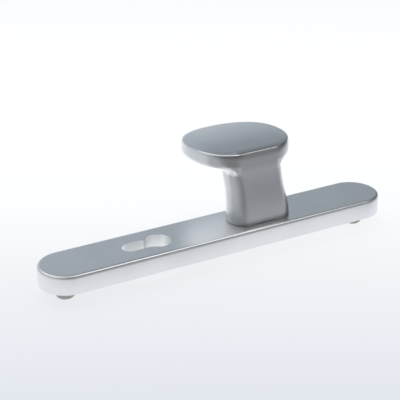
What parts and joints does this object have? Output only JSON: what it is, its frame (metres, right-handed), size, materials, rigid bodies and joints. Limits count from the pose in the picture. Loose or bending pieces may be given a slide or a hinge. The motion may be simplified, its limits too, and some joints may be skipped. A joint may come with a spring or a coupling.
{
  "type": "security door plate",
  "caption": "Long round-ended outer plate of a security door fitting with a cranked fixed knob, a Euro-profile cylinder cut-out and threaded posts behind.",
  "frame": {"origin": "centre of the plate on the door face, which is the plane of the hood's back rim", "axes": "+X along the plate from the cylinder end to the knob end, +Y to the side the knob leans to, +Z away from the door"},
  "size_m": [0.248, 0.0812, 0.0684],
  "materials": {
    "hood_metal": "satin, steel-coloured anodised",
    "knob_metal": "satin, steel-coloured anodised",
    "post_steel": "turned, zinc-plated",
    "base_steel": "zinc-plated sheet",
    "guard_steel": "hardened, dark",
    "fastener_steel": "zinc-plated"
  },
  "bodies": {
    "root": {"cover_hood": "hood_metal", "base_plate": "base_steel", "drill_guard": "guard_steel", "knob_spacer": "base_steel", "knob": "knob_metal", "mounting_post_left": "post_steel", "mounting_post_right": "post_steel", "guard_rivet_1": "fastener_steel", "guard_rivet_2": "fastener_steel", "hood_screw_1": "fastener_steel", "hood_screw_2": "fastener_steel", "hood_screw_3": "fastener_steel", "hood_screw_4": "fastener_steel", "knob_screw_1": "fastener_steel", "knob_screw_2": "fastener_steel", "knob_dowel_1": "fastener_steel", "knob_dowel_2": "fastener_steel"}
  },
  "joints": []
}
